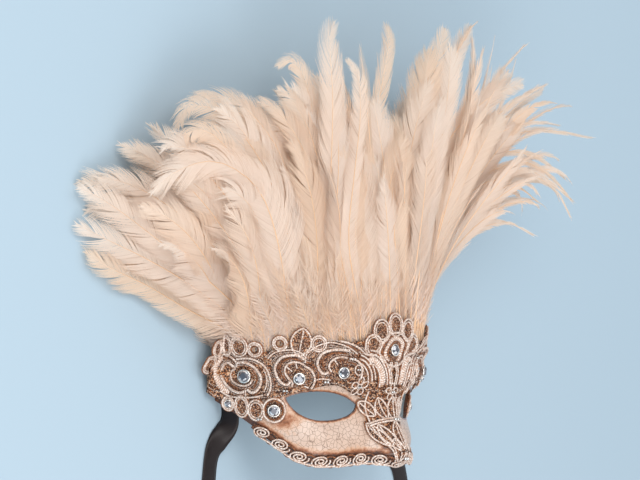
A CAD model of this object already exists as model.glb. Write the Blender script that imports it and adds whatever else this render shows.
"""A feathered carnival half mask, lying face up: a lacquered shell under corded lace, set stones, a gimp
braid, a crown of single feathers and two satin ribbons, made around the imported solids.

Lengths are in millimetres, measured from the middle of the eye line, until a mesh is made. x runs to the
wearer's left, y up the face and z the way the face looks. An angle goes round the face in degrees, from
-90 at the right temple to 90. The lace is drawn flat, u across and v up, and then laid on the face."""

import math
from collections import namedtuple

import bpy
import numpy as np
from bpy.props import FloatProperty, FloatVectorProperty, IntProperty, PointerProperty
from mathutils import Matrix, Vector


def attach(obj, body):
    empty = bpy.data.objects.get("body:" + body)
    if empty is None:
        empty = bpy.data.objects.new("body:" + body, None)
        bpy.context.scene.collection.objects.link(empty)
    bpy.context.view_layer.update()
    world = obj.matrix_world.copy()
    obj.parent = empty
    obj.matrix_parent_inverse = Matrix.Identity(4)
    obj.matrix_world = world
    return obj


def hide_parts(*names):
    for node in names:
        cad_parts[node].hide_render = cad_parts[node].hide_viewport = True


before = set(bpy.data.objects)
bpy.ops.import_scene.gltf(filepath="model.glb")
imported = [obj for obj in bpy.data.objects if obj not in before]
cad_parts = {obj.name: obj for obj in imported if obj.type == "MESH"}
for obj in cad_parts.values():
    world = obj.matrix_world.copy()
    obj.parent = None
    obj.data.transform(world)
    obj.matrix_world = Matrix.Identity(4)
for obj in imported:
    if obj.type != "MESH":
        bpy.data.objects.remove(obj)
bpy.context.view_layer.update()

bl_info = {
    "name": "Feathered Half Mask",
    "version": (1, 0, 0),
    "blender": (4, 5, 0),
    "location": "View3D > Sidebar > Half Mask",
    "description": "Makes a feathered half mask with corded lace, set stones and satin ribbons",
    "category": "Add Mesh",
}

MM = 0.001
OUTLINE_CENTRE = np.array([-5.0, 72.0, 0.0])
PER_DEGREE = 1.52
SIDES = ((-1, "right"), (1, "left"))

# The face, as the solids have it
BROW_HALF_WIDTH, CHEEK_HALF_WIDTH = 88, 80
BROW_DEPTH, CHEEK_DEPTH = 85, 78
WALL = 2.2
GAP = 0.3
NOSE_TOP, NOSE_TIP, NOSE_RISE = 14, -32, 18.5
BRIDGE_HALF, TIP_HALF = 8, 14.5
EYE_SLANT, EYE_ACROSS, EYE_HALF_WIDTH, EYE_HALF_HEIGHT = 30, -10, 26, 10
FLARE_FROM, FLARE_RADIUS = 79, 12


# Numbers and curves


def mix(a, b, share):
    return a + (b - a) * share


def smooth(value, start, end):
    t = np.clip((value - start) / (end - start), 0, 1)
    return t * t * (3 - 2 * t)


def bell(value, centre, spread):
    return np.exp(-(((value - centre) / spread) ** 2))


def unit(vectors):
    return vectors / np.maximum(np.linalg.norm(vectors, axis=-1, keepdims=True), 1e-9)


def through(points):
    """A smooth curve y(x) through a few points."""
    xs, ys = np.array(points, float).T
    before = np.maximum(np.arange(len(xs)) - 1, 0)
    after = np.minimum(np.arange(len(xs)) + 1, len(xs) - 1)
    slopes = (ys[after] - ys[before]) / (xs[after] - xs[before])

    def curve(x):
        x = np.clip(x, xs[0], xs[-1])
        i = np.clip(np.searchsorted(xs, x) - 1, 0, len(xs) - 2)
        span = xs[i + 1] - xs[i]
        t = (x - xs[i]) / span
        bend = t * (1 - t) ** 2 * slopes[i] + t * t * (t - 1) * slopes[i + 1]
        return mix(ys[i], ys[i + 1], t * t * (3 - 2 * t)) + span * bend

    return curve


def travelled_along(path):
    """How far along the path each of its points is. Only its first three columns count as length."""
    return np.r_[0, np.cumsum(np.linalg.norm(np.diff(path[:, :3], axis=0), axis=1))]


def length_of(path):
    return np.linalg.norm(np.diff(path, axis=0), axis=1).sum()


def paced(path, step, closed=False):
    """The path again, at even steps."""
    path = np.asarray(path, float)
    if closed:
        path = np.vstack([path, path[:1]])
    travelled = travelled_along(path)
    count = max(8, int(round(travelled[-1] / step)))
    stops = np.linspace(0, travelled[-1], count + 1)
    if closed:
        stops = stops[:-1]
    return np.stack([np.interp(stops, travelled, column) for column in path.T], -1)


def eased(points, at, stops):
    """A smooth line through points that lie at some numbers, read at its stops."""
    return np.stack([through(np.stack([at, column], -1))(stops) for column in points.T], -1)


def eased_by_number(points, count):
    """The same where each point lies at its own number."""
    last = len(points) - 1
    return eased(points, np.arange(last + 1), np.linspace(0, last, count))


def bezier(a, b, c, d, t):
    t = t[:, None]
    return (1 - t) ** 3 * a + 3 * t * (1 - t) ** 2 * b + 3 * t * t * (1 - t) * c + t**3 * d


def sideways(path):
    """The way to the left of a flat path, at each of its points."""
    along = unit(np.gradient(path, axis=0))
    return np.stack([-along[:, 1], along[:, 0]], -1)


def beside(path, gap):
    """A flat path again, moved sideways."""
    return path + gap * sideways(path)


# The form of the face and of the lace on it


def half_width(y):
    return mix(BROW_HALF_WIDTH, CHEEK_HALF_WIDTH, smooth(y, 10, -32))


def depth_at(y):
    forehead = np.maximum(0, y - 30)
    return mix(BROW_DEPTH, CHEEK_DEPTH, smooth(y, 18, -22)) - 0.006 * forehead**2


def swell_at(x, y):
    side = np.abs(x)
    hollow = 9 * bell(side, 42, 24) * bell(y, 1, 14)
    brow = 2.5 * bell(side, 38, 30) * bell(y, 21, 9)
    cheek = 3 * bell(side, 46, 20) * bell(y, -25, 12)
    return brow + cheek - hollow


def nose_at(x, y):
    along = np.clip((NOSE_TOP - y) / (NOSE_TOP - NOSE_TIP), 0, 1)
    half = mix(BRIDGE_HALF, TIP_HALF, along)
    under = np.maximum(0, NOSE_TIP - y) / 8
    rise = np.maximum(0, NOSE_RISE * along**1.5 - 7 * under**2)
    return rise * np.exp(-((np.abs(x) / half) ** 2.4))


def face_point(angle, y):
    angle, y = np.broadcast_arrays(np.asarray(angle, float), np.asarray(y, float))
    x = half_width(y) * np.sin(np.radians(angle))
    z = depth_at(y) * np.cos(np.radians(angle))
    swell = 1 + swell_at(x, y) / np.hypot(x, z)
    return np.stack([x * swell, y, z * swell + nose_at(x, y)], -1)


def face_normal(angle, y, step=0.5):
    across = face_point(angle + step, y) - face_point(angle - step, y)
    up = face_point(angle, y + step) - face_point(angle, y - step)
    return unit(np.cross(across, up))


LOWER_EDGE = through(
    [(0, -40), (12, -37.5), (28, -39), (40, -39), (50, -35), (57, -28), (66, -19), (76, -9), (84, -2)]
    + [(90, 3)]
)
UPPER_EDGE = through([(0, 53), (20, 50), (40, 46), (60, 44), (75, 42), (90, 40)])


def lower_edge(angle):
    return LOWER_EDGE(np.abs(angle))


def upper_edge(angle):
    return UPPER_EDGE(np.abs(angle))


def lace_point(u, v, height):
    """A point of the lace, drawn at u and v on the flat, that much above the face."""
    u, v, height = np.broadcast_arrays(*(np.asarray(n, float) for n in (u, v, height)))
    angle = u / PER_DEGREE
    side = np.sign(angle)
    on_shell = side * np.minimum(np.abs(angle), FLARE_FROM)
    normal = face_normal(on_shell, v)
    point = face_point(on_shell, v)
    past = np.maximum(0, np.abs(angle) - FLARE_FROM) * PER_DEGREE
    turn = np.minimum(past / FLARE_RADIUS, math.pi / 2)
    flared = FLARE_RADIUS * (1 - np.cos(turn)) + np.maximum(0, past - FLARE_RADIUS * math.pi / 2)
    point[..., 0] += side * flared
    point[..., 2] -= FLARE_RADIUS * np.sin(turn)
    normal[..., 0] *= np.cos(turn)
    normal[..., 2] = mix(normal[..., 2], 1, np.sin(turn))
    top = upper_edge(angle)
    lift = 4.2 * smooth(v, top - 18, top - 9) + 3.4 * smooth(v, top - 9, top + 8)
    return point + unit(normal) * (GAP + lift + height)[..., None]


def lace_frame(u, v, height):
    """A place on the lace and, there, the ways across, up and out."""
    centre = lace_point(u, v, height)
    out = unit(lace_point(u, v, np.add(height, 1.0)) - centre)
    across = unit(np.cross(np.array([0.0, 1.0, 0.0]), out))
    return centre, across, np.cross(out, across), out


# Meshes


def grid_faces(rows, columns, wrap_columns=False, wrap_rows=False):
    """Four-cornered faces over points that run row by row."""
    r = np.arange(rows if wrap_rows else rows - 1)[:, None]
    c = np.arange(columns if wrap_columns else columns - 1)[None, :]
    below, after = (r + 1) % rows, (c + 1) % columns
    corners = [r * columns + c, r * columns + after, below * columns + after, below * columns + c]
    return np.stack(np.broadcast_arrays(*corners), -1).reshape(-1, 4)


def in_metres(points):
    """Points in mm from the middle of the eye line, as a mesh takes them."""
    return ((points - OUTLINE_CENTRE) * MM).astype(np.float32).ravel()


def points_of(piece):
    points = np.zeros(len(piece.data.vertices) * 3, np.float32)
    piece.data.vertices.foreach_get("co", points)
    return points.reshape(-1, 3)


class Bundle:
    """Points and faces of one piece, gathered before its mesh is made. A mark is one number a point."""

    def __init__(self, *marks):
        self.points = []
        self.faces = []
        self.finishes = []
        self.marks = {name: [] for name in marks}
        self.first = self.count = 0

    def add(self, points, faces, finish=0, **marks):
        points = np.asarray(points, float).reshape(-1, 3)
        self.points.append(points)
        for name, column in self.marks.items():
            column.append(np.broadcast_to(np.asarray(marks.get(name, 0.0), float).ravel(), len(points)))
        self.first = self.count
        self.count += len(points)
        self.close(faces, finish)

    def close(self, faces, finish=0):
        """More faces over the points that were added last."""
        self.faces.append(np.asarray(faces) + self.first)
        self.finishes.append(np.full(len(faces), finish))

    def cord(self, path, out, radius, pitch, finish, closed=False, plies=(0.0, 0.6, 0.05, 0.5)):
        """A twisted cord, each ply with its own tone."""
        self.add(*swept(path, out, radius, pitch, closed), finish, tone=np.tile(plies, len(path)))

    def piece(self, name, materials, flat=False):
        mesh = bpy.data.meshes.new(name)
        mesh.vertices.add(self.count)
        mesh.vertices.foreach_set("co", in_metres(np.concatenate(self.points)))
        corners = np.concatenate([f.ravel() for f in self.faces]).astype(np.int32)
        sizes = np.concatenate([np.full(len(f), f.shape[1]) for f in self.faces]).astype(np.int32)
        mesh.loops.add(len(corners))
        mesh.loops.foreach_set("vertex_index", corners)
        mesh.polygons.add(len(sizes))
        mesh.polygons.foreach_set("loop_start", np.r_[0, np.cumsum(sizes)[:-1]].astype(np.int32))
        mesh.polygons.foreach_set("material_index", np.concatenate(self.finishes).astype(np.int32))
        for mark, column in self.marks.items():
            layer = mesh.attributes.new(mark, "FLOAT", "POINT")
            layer.data.foreach_set("value", np.concatenate(column).astype(np.float32))
        mesh.update(calc_edges=True)
        mesh.polygons.foreach_set("use_smooth", np.full(len(sizes), not flat))
        for material in materials:
            mesh.materials.append(material)
        piece = bpy.data.objects.new(name, mesh)
        bpy.context.scene.collection.objects.link(piece)
        return piece


def mounted(piece, slot, *nodes):
    """The piece rides with the mask, in one of its finishes, and stands for these solids."""
    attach(piece, "root")
    if nodes:
        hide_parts(*nodes)
    return piece


def only(piece):
    """The piece is selected alone, ready for an operator."""
    bpy.ops.object.select_all(action="DESELECT")
    piece.select_set(True)
    bpy.context.view_layer.objects.active = piece


def applied(piece, kind, **settings):
    """The piece with one modifier of that kind, applied."""
    only(piece)
    modifier = piece.modifiers.new(kind.title(), kind)
    for name, value in settings.items():
        setattr(modifier, name, value)
    bpy.ops.object.modifier_apply(modifier=modifier.name)
    return piece


def drop(piece):
    """A helper that is no longer needed goes, with its mesh."""
    data = piece.data
    bpy.data.objects.remove(piece)
    bpy.data.meshes.remove(data)


def swept(path, out, radius, pitch, closed=False, sides=4):
    """A twisted cord along a path: its square section turns once in each pitch."""
    if closed:
        ahead, behind = np.roll(path, -1, 0), np.roll(path, 1, 0)
    else:
        ahead, behind = np.vstack([path[1:], path[-1:]]), np.vstack([path[:1], path[:-1]])
    along = unit(ahead - behind)
    across = unit(np.cross(along, out))
    up = np.cross(across, along)
    travelled = travelled_along(path)
    whole = travelled[-1] + (np.linalg.norm(path[0] - path[-1]) if closed else 0)
    turns = max(1, round(whole / pitch)) if closed else whole / pitch
    phase = 2 * math.pi * turns * travelled / whole
    spin = phase[:, None] + 2 * math.pi * np.arange(sides) / sides
    radius = np.broadcast_to(np.asarray(radius, float), len(path))[:, None, None]
    around = np.cos(spin)[..., None] * across[:, None] + np.sin(spin)[..., None] * up[:, None]
    points = path[:, None] + radius * around
    faces = grid_faces(len(path), sides, wrap_columns=True, wrap_rows=closed)[:, ::-1]
    if not closed:
        first = np.arange(sides)[None]
        last = first[:, ::-1] + (len(path) - 1) * sides
        faces = np.vstack([faces, first, last])
    return points.reshape(-1, 3), faces


# Materials

WHITE, BLACK, SOOT = (1, 1, 1), (0, 0, 0), (0.07, 0.022, 0.01)


class Finish:
    """A material while it is made. What another node gives is linked, and a number or colour is set."""

    def __init__(self, name):
        self.material = bpy.data.materials.new(name)
        self.material.use_nodes = True
        self.nodes = self.material.node_tree.nodes
        self.shader = self.nodes["Principled BSDF"]

    def fill(self, node, inputs):
        for name, value in inputs.items():
            if isinstance(value, bpy.types.NodeSocket):
                self.material.node_tree.links.new(value, node.inputs[name])
            else:
                number = isinstance(value, (int, float))
                node.inputs[name].default_value = value if number else (*value, 1.0)

    def node(self, kind, inputs={}, **settings):
        node = self.nodes.new("ShaderNode" + kind)
        for name, value in settings.items():
            setattr(node, name, value)
        self.fill(node, inputs)
        return node

    def place(self):
        """The piece's own coordinates."""
        return self.node("TexCoord").outputs["Object"]

    def mark(self, name):
        return self.node("Attribute", attribute_name=name).outputs["Fac"]

    def noise(self, place, scale, detail):
        return self.node("TexNoise", {"Vector": place, "Scale": scale, "Detail": detail})

    def ramp(self, factor, *stops):
        node = self.node("ValToRGB", {"Fac": factor})
        stripe = node.color_ramp
        while len(stripe.elements) < len(stops):
            stripe.elements.new(0.5)
        for element, (place, colour) in zip(stripe.elements, stops):
            element.position = place
            element.color = (*colour, 1.0)
        return node.outputs["Color"]

    def blend(self, factor, first, second, how="MIX"):
        inputs = {0: factor, 6: first, 7: second}
        return self.node("Mix", inputs, data_type="RGBA", blend_type=how).outputs[2]

    def bump(self, height, strength, distance):
        node = self.node("Bump", {"Height": height, "Strength": strength, "Distance": distance})
        self.fill(self.shader, {"Normal": node.outputs["Normal"]})

    def done(self, colour, roughness, inputs={}):
        """The finished material."""
        self.fill(self.shader, {"Base Color": colour, "Roughness": roughness, **inputs})
        return self.material


def lacquer(settings):
    """Cream crackle lacquer, burnt to sienna along the edges."""
    finish = Finish("crackle_lacquer")
    place = finish.place()
    wander = finish.noise(place, 260.0, 3.0).outputs["Color"]
    shift = finish.node("VectorMath", {0: wander, "Scale": 0.0016}, operation="SCALE").outputs[0]
    moved = finish.node("VectorMath", {0: place, 1: shift}, operation="ADD").outputs[0]
    cells, fine = (
        finish.node("TexVoronoi", {"Vector": moved, "Scale": scale}, feature="DISTANCE_TO_EDGE")
        for scale in (1 / settings.crackle, 2.1 / settings.crackle)
    )
    clouds = finish.noise(place, 38.0, 5.0).outputs["Fac"]
    coat = finish.ramp(clouds, (0.3, settings.deep), (0.62, settings.lacquer))
    line = finish.ramp(cells.outputs["Distance"], (0.0, WHITE), (0.06, BLACK))
    thin = finish.ramp(fine.outputs["Distance"], (0.0, (0.45, 0.45, 0.45)), (0.03, BLACK))
    cracks = finish.blend(1.0, line, thin, "LIGHTEN")
    aged = finish.blend(cracks, coat, settings.crack)
    ragged = finish.noise(place, 330.0, 4.0).outputs["Fac"]
    scorch = finish.node("Math", {0: ragged, 1: 0.9, 2: -0.45}, operation="MULTIPLY_ADD").outputs[0]
    rim = finish.node("Math", {0: finish.mark("burn"), 1: scorch}, operation="ADD").outputs[0]
    edge = finish.ramp(rim, (0.12, BLACK), (0.72, WHITE))
    burnt = finish.ramp(rim, (0.3, settings.amber), (0.62, settings.sienna), (1.0, SOOT))
    groove = finish.node("Math", {0: 1.0, 1: cracks}, operation="SUBTRACT").outputs[0]
    finish.bump(groove, 0.35, 0.0002)
    return finish.done(finish.blend(edge, aged, burnt), 0.32, {"Coat Weight": 0.35, "Coat Roughness": 0.16})


def plain_inside(settings):
    """Bare white papier-mache with the weave of its paper."""
    finish = Finish("bare_plaster")
    clouds = finish.noise(finish.place(), 90.0, 6.0).outputs["Fac"]
    finish.bump(clouds, 0.5, 0.0006)
    return finish.done(finish.ramp(clouds, (0.35, (0.62, 0.58, 0.53)), (0.7, settings.inside)), 0.78)


def thread(name, light, shadow, metal, gloss):
    """Lustrous thread: lighter on its ridges, with fine plies from its own noise."""
    finish = Finish(name)
    fleck = finish.noise(finish.place(), 900.0, 2.0).outputs["Fac"]
    spread = finish.ramp(fleck, (0.32, shadow), (0.62, light))
    finish.bump(fleck, 0.4, 0.0003)
    dim = finish.blend(finish.mark("tone"), spread, shadow)
    return finish.done(dim, gloss, {"Metallic": metal, "Sheen Weight": 0.25})


def embroidery(settings):
    """The close ground of the lace: brown stitches with copper and pale glints."""
    finish = Finish("copper_embroidery")
    place = finish.place()
    stitch = finish.node("TexVoronoi", {"Vector": place, "Scale": 1150.0})
    pick = finish.node("SeparateColor", {"Color": stitch.outputs["Color"]}).outputs[0]
    dark = [(0.0, settings.umber), (0.45, settings.umber)]
    colours = finish.ramp(pick, *dark, (0.62, settings.copper), (0.86, settings.glint))
    patch = finish.noise(place, 300.0, 4.0).outputs["Fac"]
    shade = finish.ramp(patch, (0.3, (0.45, 0.4, 0.38)), (0.65, WHITE))
    finish.bump(stitch.outputs["Distance"], 0.8, 0.0005)
    return finish.done(finish.blend(1.0, colours, shade, "MULTIPLY"), 0.38, {"Metallic": 0.35})


def metal(name, colour, gloss):
    """Bright plated metal, a little uneven."""
    finish = Finish(name)
    wear = finish.noise(finish.place(), 700.0, 3.0).outputs["Fac"]
    tint = finish.ramp(wear, (0.3, tuple(0.6 * c for c in colour)), (0.6, colour))
    return finish.done(tint, gloss, {"Metallic": 1.0})


def crystal():
    """Foil-backed cut glass: each facet throws back another part of the room."""
    finish = Finish("cut_glass")
    dull = [(0.0, (0.1, 0.1, 0.12)), (0.4, (0.38, 0.38, 0.42))]
    tone = finish.ramp(finish.mark("facet"), *dull, (0.6, (0.75, 0.76, 0.8)), (1.0, WHITE))
    return finish.done(tone, 0.06, {"Metallic": 0.75, "Coat Weight": 1.0, "Coat Roughness": 0.02})


def satin(settings):
    """Black satin, with the fine cross ribs of a woven ribbon."""
    finish = Finish("black_satin")
    inputs = {"Vector": finish.node("UVMap").outputs["UV"], "Scale": 300.0, "Distortion": 0.4, "Detail": 1.0}
    weave = finish.node("TexWave", inputs, bands_direction="Y").outputs["Fac"]
    tint = finish.ramp(weave, (0.0, tuple(0.6 * c for c in settings.satin)), (1.0, settings.satin))
    finish.bump(weave, 0.25, 0.0001)
    return finish.done(tint, 0.42, {"Anisotropic": 0.5, "Specular IOR Level": 0.3})


def vane(settings):
    """Dyed feather: peach near the quill, cream towards the edge, lit through from behind."""
    finish = Finish("plume_barbs")
    cream = [(0.26, settings.cream), (0.8, settings.cream)]
    length = finish.ramp(finish.mark("reach"), (0.0, settings.base), *cream, (1.0, settings.tip))
    warm = finish.blend(finish.mark("tint"), length, settings.peach)
    shadow = [(0.0, (0.72, 0.64, 0.58)), (0.35, (0.95, 0.93, 0.91))]
    streak = finish.ramp(finish.mark("shade"), *shadow, (1.0, WHITE))
    final = finish.blend(1.0, warm, streak, "MULTIPLY")
    glow = finish.node("BsdfTranslucent", {"Color": final}).outputs["BSDF"]
    both = finish.node("MixShader", {"Fac": 0.42, 1: finish.shader.outputs["BSDF"], 2: glow})
    finish.fill(finish.nodes["Material Output"], {"Surface": both.outputs["Shader"]})
    return finish.done(final, 0.62, {"Sheen Weight": 0.3, "Specular IOR Level": 0.25})


def shaft(settings):
    """The horn of a quill, honey coloured and paler towards its tip."""
    finish = Finish("plume_shafts")
    honey = [(0.0, settings.quill), (0.75, settings.quill)]
    return finish.done(finish.ramp(finish.mark("reach"), *honey, (1.0, settings.cream)), 0.35)


def paper_floor(settings):
    """Plain pale studio paper, with a trace of tooth."""
    finish = Finish("pale_floor")
    finish.bump(finish.noise(finish.place(), 400.0, 2.0).outputs["Fac"], 0.05, 0.0002)
    return finish.done(settings.floor, 0.9, {"Specular IOR Level": 0.1})


# Settings


def colour(name, description, default):
    return FloatVectorProperty(
        name=name, description=description, default=default, subtype="COLOR", min=0.0, max=1.0
    )


def extent(name, description, default):
    return FloatProperty(name=name, description=description, default=default, unit="LENGTH")


class ShellSettings(bpy.types.PropertyGroup):
    crackle: extent("Crackle", "Width of one cell of crackle", 0.0034)
    lacquer: colour("Lacquer", "Cream coat", (0.62, 0.465, 0.38))
    deep: colour("Deep lacquer", "Warmer clouds in the coat", (0.56, 0.38, 0.28))
    crack: colour("Cracks", "Lines of crackle", (0.2, 0.125, 0.085))
    amber: colour("Toasted edge", "Start of the scorching", (0.62, 0.3, 0.13))
    sienna: colour("Burnt edge", "Scorched rim", (0.34, 0.11, 0.03))
    inside: colour("Inside", "Bare plaster", (0.82, 0.79, 0.74))


class LaceSettings(bpy.types.PropertyGroup):
    cord: extent("Cord", "Radius of an outline cord", 0.00066)
    pitch: extent("Twist", "Length of one turn of a cord", 0.0036)
    silver: colour("Pale cord", "Silvery cream thread", (0.97, 0.9, 0.84))
    silver_shadow: colour("Pale cord shadow", "Between the plies", (0.42, 0.23, 0.14))
    copper: colour("Copper", "Copper thread", (0.5, 0.165, 0.04))
    umber: colour("Umber", "Dark ground", (0.06, 0.02, 0.01))
    glint: colour("Glint", "Pale stitches", (0.84, 0.56, 0.37))


class StoneSettings(bpy.types.PropertyGroup):
    seed: IntProperty(name="Seed", description="Which facets of the stones flash", default=4)
    plate: colour("Setting", "Plated cup", (0.86, 0.84, 0.8))
    foil: colour("Foil", "Mirror behind a stone", (0.42, 0.43, 0.46))


class PlumeSettings(bpy.types.PropertyGroup):
    seed: IntProperty(name="Seed", description="Arrangement of the feathers", default=11)
    spacing: extent("Barb spacing", "Along the shaft", 0.00092)
    cream: colour("Cream", "Vane", (0.89, 0.765, 0.67))
    tip: colour("Tip", "Pale tips", (0.9, 0.81, 0.73))
    base: colour("Base", "Greyer rose by the lace", (0.9, 0.775, 0.725))
    peach: colour("Peach", "Warmer feathers", (0.87, 0.67, 0.5))
    quill: colour("Quill", "Shaft", (0.85, 0.56, 0.34))


class RibbonSettings(bpy.types.PropertyGroup):
    width: extent("Width", "Width of a ribbon", 0.015)
    length: extent("Length", "Cut length of a ribbon", 0.4)
    satin: colour("Satin", "Black satin", (0.014, 0.008, 0.008))


class StageSettings(bpy.types.PropertyGroup):
    floor: colour("Floor", "Pale studio paper", (0.39, 0.5, 0.585))
    distance: extent("Camera distance", "From the crown's middle", 5.0)
    view_width: extent("View width", "Width seen at that distance", 0.441)


class MaskSettings(bpy.types.PropertyGroup):
    shell: PointerProperty(type=ShellSettings)
    lace: PointerProperty(type=LaceSettings)
    stones: PointerProperty(type=StoneSettings)
    plumes: PointerProperty(type=PlumeSettings)
    ribbons: PointerProperty(type=RibbonSettings)
    stage: PointerProperty(type=StageSettings)


# The shell


def eye_outline(steps=40):
    """The almond of an eye hole, flatter on top."""
    w, h = EYE_HALF_WIDTH, EYE_HALF_HEIGHT
    start = (-w, 0.5 * h)
    stretches = [
        [start, (-0.7 * w, 1.05 * h), (0.5 * w, 1.25 * h), (w, 0)],
        [(w, 0), (1.02 * w, -0.9 * h), (0.3 * w, -1.15 * h), (-0.1 * w, -1.05 * h)],
        [(-0.1 * w, -1.05 * h), (-0.6 * w, -0.9 * h), (-0.9 * w, -0.1 * h), start],
    ]
    t = np.linspace(0, 1, steps, endpoint=False)
    return np.vstack([bezier(*stretch, t) for stretch in np.array(stretches, float)])


def eye_place(side, across, up, depth):
    """A point of the eye hole's own slanted frame."""
    slant = math.radians(EYE_SLANT)
    x = (across + EYE_ACROSS) * math.cos(slant) - depth * math.sin(slant)
    z = (across + EYE_ACROSS) * math.sin(slant) + depth * math.cos(slant)
    return np.stack(np.broadcast_arrays(-side * x, up, z), -1)


def eye_cutter(side):
    """A block in the shape of an eye hole, closed at both ends, through the face."""
    outline = eye_outline()
    layers = [eye_place(side, outline[:, 0], outline[:, 1], depth) for depth in (20.0, 105.0)]
    bundle = Bundle()
    bundle.add(np.vstack(layers), grid_faces(2, len(outline), wrap_columns=True))
    cutter = bundle.piece("eye_cutter", [])
    only(cutter)
    bpy.ops.object.mode_set(mode="EDIT")
    bpy.ops.mesh.select_all(action="SELECT")
    bpy.ops.mesh.fill_holes(sides=0)
    bpy.ops.mesh.normals_make_consistent(inside=False)
    bpy.ops.object.mode_set(mode="OBJECT")
    return cutter


def shell_marks(piece):
    """How burnt the lacquer is at each point: most at the lower edge and the eye holes."""
    x, y, z = (points_of(piece).astype(float) / MM + OUTLINE_CENTRE).T
    angle = np.degrees(np.arctan2(x / BROW_HALF_WIDTH, z / BROW_DEPTH))
    burn = 1 - smooth(y - lower_edge(np.clip(angle, -90, 90)), 3.5, 11)
    slant = math.radians(EYE_SLANT)
    outline = eye_outline(60)
    across = np.abs(x) * -math.cos(slant) + z * math.sin(slant) - EYE_ACROSS
    apart = np.hypot(across[:, None] - outline[:, 0], y[:, None] - outline[:, 1]).min(1)
    burn = np.maximum(burn, 0.95 * (1 - smooth(apart, 0.3, 2.4)))
    corner = bell(np.abs(angle), 56, 8) * bell(y, -10, 7)
    band = np.abs(angle) * PER_DEGREE - NOSE_BAND(y)
    by_nose = (1 - smooth(band, 0, 5)) * smooth(-y, 0, 12)
    burn = np.maximum(burn, 0.85 * np.maximum(corner, by_nose))
    layer = piece.data.attributes.new("burn", "FLOAT", "POINT")
    layer.data.foreach_set("value", burn.astype(np.float32))


class MASK_OT_shell(bpy.types.Operator):
    """Make the shell: the face form, given its wall, cut for the eyes and eased along its edges"""

    bl_idname = "half_mask.shell"
    bl_label = "Shell"

    def execute(self, context):
        settings = context.scene.half_mask.shell
        bpy.ops.mesh.primitive_grid_add(x_subdivisions=270, y_subdivisions=96, size=2)
        shell = context.object
        shell.name = shell.data.name = "shell"
        flat = points_of(shell)
        across, up = flat[:, 0], (flat[:, 1] + 1) / 2
        angle = 90 * (0.72 * across + 0.28 * across**3)
        points = face_point(angle, mix(lower_edge(angle), upper_edge(angle), up))
        points[np.abs(across) > 0.9999, 2] = 0
        shell.data.vertices.foreach_set("co", in_metres(points))
        shell.data.materials.append(lacquer(settings))
        shell.data.materials.append(plain_inside(settings))
        applied(shell, "SOLIDIFY", thickness=WALL * MM, offset=-1.0, material_offset=1)
        for side in (-1, 1):
            cutter = eye_cutter(side)
            applied(shell, "BOOLEAN", operation="DIFFERENCE", object=cutter, solver="EXACT")
            drop(cutter)
        crease = math.radians(50)
        applied(shell, "BEVEL", width=0.5 * MM, segments=2, limit_method="ANGLE", angle_limit=crease)
        only(shell)
        bpy.ops.object.shade_smooth_by_angle(angle=math.radians(40))
        shell_marks(shell)
        mounted(shell, "plaster", "mask_shell")
        return {"FINISHED"}


# Lace: a motif is drawn round its middle, from a turn of 0 to 2 pi

GROUND, PALE, COPPER, SILVER = range(4)
CLOTH_STEP = 0.9
BEAD_ROWS = 16
SEED_SIZE, SEED_HEIGHT = 0.42, 1.55


def oval(w, h):
    return lambda a: (w * np.cos(a), h * np.sin(a))


def leaf(w, h):
    return lambda a: (w * np.cos(a) * np.abs(np.cos(a)) ** 0.5, h * np.sin(a))


def scalloped(w, h, lobes):
    def outline(a):
        k = 1 + 0.09 * np.cos(lobes * a)
        return w * k * np.cos(a), h * k * np.sin(a)

    return outline


class Motif:
    """One motif of the lace, at an angle round the face and a height y, turned by some degrees."""

    def __init__(self, kind, angle, y, outline, turn=0.0, side=-1):
        self.kind, self.outline = kind, outline
        self.side, self.turn = side, math.radians(turn)
        self.u, self.v = angle * PER_DEGREE, y

    def flat(self, a, share):
        """Where a point of the outline, drawn in by a share, lies on the flat."""
        p, q = self.outline(a)
        p, q = p * share, q * share
        across = p * math.cos(self.turn) - q * math.sin(self.turn)
        up = p * math.sin(self.turn) + q * math.cos(self.turn)
        return (self.u + across) * (-self.side), self.v + up

    def size(self):
        p, q = self.outline(np.array([0.0, math.pi / 2]))
        return abs(p[0]), abs(q[1])


def lace_finishes(settings):
    """The finishes of ground, pale cord, copper and silver, in that order."""
    return [
        embroidery(settings),
        thread("silver_cord", settings.silver, settings.silver_shadow, 0.2, 0.42),
        thread("copper_thread", settings.copper, settings.umber, 0.45, 0.4),
        metal("silver_bead", (0.72, 0.7, 0.68), 0.18),
    ]


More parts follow.
